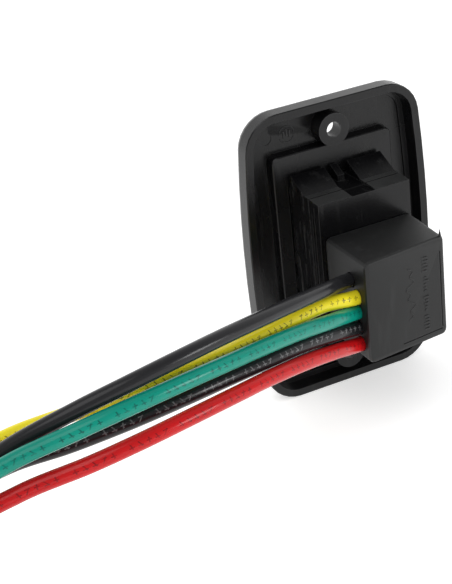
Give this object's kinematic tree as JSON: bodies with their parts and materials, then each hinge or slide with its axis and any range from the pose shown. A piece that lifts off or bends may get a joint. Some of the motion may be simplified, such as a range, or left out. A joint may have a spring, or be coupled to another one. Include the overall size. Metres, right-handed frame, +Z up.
{
  "type": "rocker switch wall plate with plugged wiring connector",
  "caption": "Black moulded wall plate carrying a momentary reversing rocker switch, with a push-on connector hood and its coloured leads on the rear.",
  "frame": {"origin": "middle of the object's footprint without the leads, at the plate's bottom edge", "axes": "+X to the side the leads leave from, +Y to the rear (the wiring side), +Z up along the plate's height"},
  "size_m": [0.1883, 0.1468, 0.0858],
  "materials": {
    "plate_plastic": "fine moulded texture",
    "switch_plastic": "satin moulded",
    "rocker_plastic": "satin moulded",
    "hood_plastic": "satin moulded",
    "brass": "stamped",
    "steel": "drawn wire",
    "lead_black": "extruded",
    "lead_yellow": "extruded",
    "lead_green": "extruded",
    "lead_red": "extruded"
  },
  "bodies": {
    "plate": {"wall_plate": "plate_plastic", "switch_housing": "switch_plastic", "terminal_base": "switch_plastic", "jumper_link": "brass", "terminal_supply": "brass", "terminal_ground_upper": "brass", "terminal_output_left": "brass", "terminal_output_right": "brass", "terminal_ground_lower": "brass"},
    "rocker": {"rocker": "rocker_plastic", "plunger_left": "steel", "plunger_right": "steel", "plunger_spring_left": "steel", "plunger_spring_right": "steel"},
    "arm_left": {"contact_arm_left": "brass"},
    "arm_right": {"contact_arm_right": "brass"},
    "plug": {"plug_shell": "hood_plastic", "plug_carrier": "hood_plastic", "receptacle_supply": "brass", "receptacle_ground_upper": "brass", "receptacle_output_left": "brass", "receptacle_output_right": "brass", "receptacle_ground_lower": "brass", "lead_black_upper": "lead_black", "lead_yellow": "lead_yellow", "lead_green": "lead_green", "lead_black_lower": "lead_black", "lead_red": "lead_red"}
  },
  "joints": [
    {"name": "rocker_tilt", "type": "hinge", "parent": "plate", "child": "rocker", "pos_m": [0, -0.0147, 0.0429], "axis": [1, 0, 0], "range_deg": [-11, 11], "stiffness_Nm_per_rad": 0.25},
    {"name": "arm_left_rock", "type": "hinge", "parent": "plate", "child": "arm_left", "pos_m": [0.0065, -0.006, 0.0429], "axis": [1, 0, 0], "range_deg": [-8, 8]},
    {"name": "arm_right_rock", "type": "hinge", "parent": "plate", "child": "arm_right", "pos_m": [-0.0065, -0.006, 0.0429], "axis": [1, 0, 0], "range_deg": [-8, 8]},
    {"name": "plug_pull", "type": "slide", "parent": "plate", "child": "plug", "axis": [0, 1, 0], "range_m": [0, 0.009]}
  ],
  "couplings": [
    {"joint": "arm_left_rock", "follows": "rocker_tilt", "ratio": -0.72727},
    {"joint": "arm_right_rock", "follows": "rocker_tilt", "ratio": -0.72727}
  ]
}
